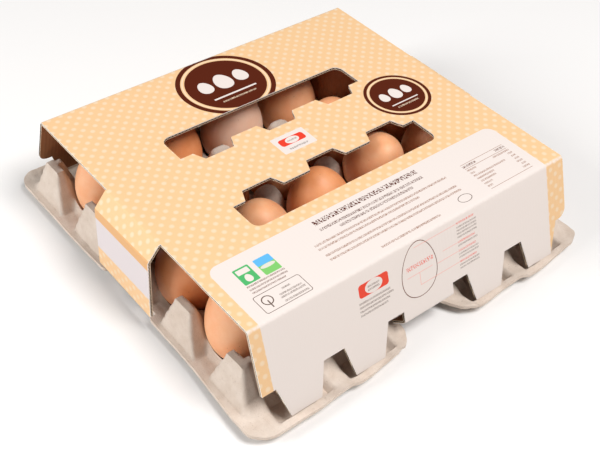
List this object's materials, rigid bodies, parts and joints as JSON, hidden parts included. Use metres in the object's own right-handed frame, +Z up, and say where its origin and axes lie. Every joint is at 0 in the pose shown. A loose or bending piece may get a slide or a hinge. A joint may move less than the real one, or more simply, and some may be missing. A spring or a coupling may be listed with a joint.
{
  "type": "egg carton with eggs",
  "caption": "Square pack of brown hen's eggs: a moulded-pulp tray under a wrap-around corrugated sleeve with two long windows, end flaps and slots.",
  "frame": {"origin": "under the middle of the pack's plan, on the surface it stands on", "axes": "+X along the rows of five eggs, towards the right-hand end; +Y across the four rows, away from the front panel; +Z up"},
  "size_m": [0.279, 0.282, 0.071],
  "materials": {
    "pulp": "matte",
    "board": "satin",
    "brown_shell": "satin",
    "pale_shell": "satin"
  },
  "bodies": {
    "root": {"tray": "pulp", "sleeve": "board", "egg_r1_c1": "brown_shell", "egg_r1_c2": "brown_shell", "egg_r1_c3": "brown_shell", "egg_r1_c4": "brown_shell", "egg_r1_c5": "brown_shell", "egg_r2_c1": "brown_shell", "egg_r2_c2": "brown_shell", "egg_r2_c3": "brown_shell", "egg_r2_c4": "brown_shell", "egg_r2_c5": "brown_shell", "egg_r3_c1": "brown_shell", "egg_r3_c2": "brown_shell", "egg_r3_c3": "brown_shell", "egg_r3_c4": "brown_shell", "egg_r3_c5": "brown_shell", "egg_r4_c1": "brown_shell", "egg_r4_c2": "brown_shell", "egg_r4_c3": "pale_shell", "egg_r4_c4": "brown_shell", "egg_r4_c5": "brown_shell"}
  },
  "joints": []
}
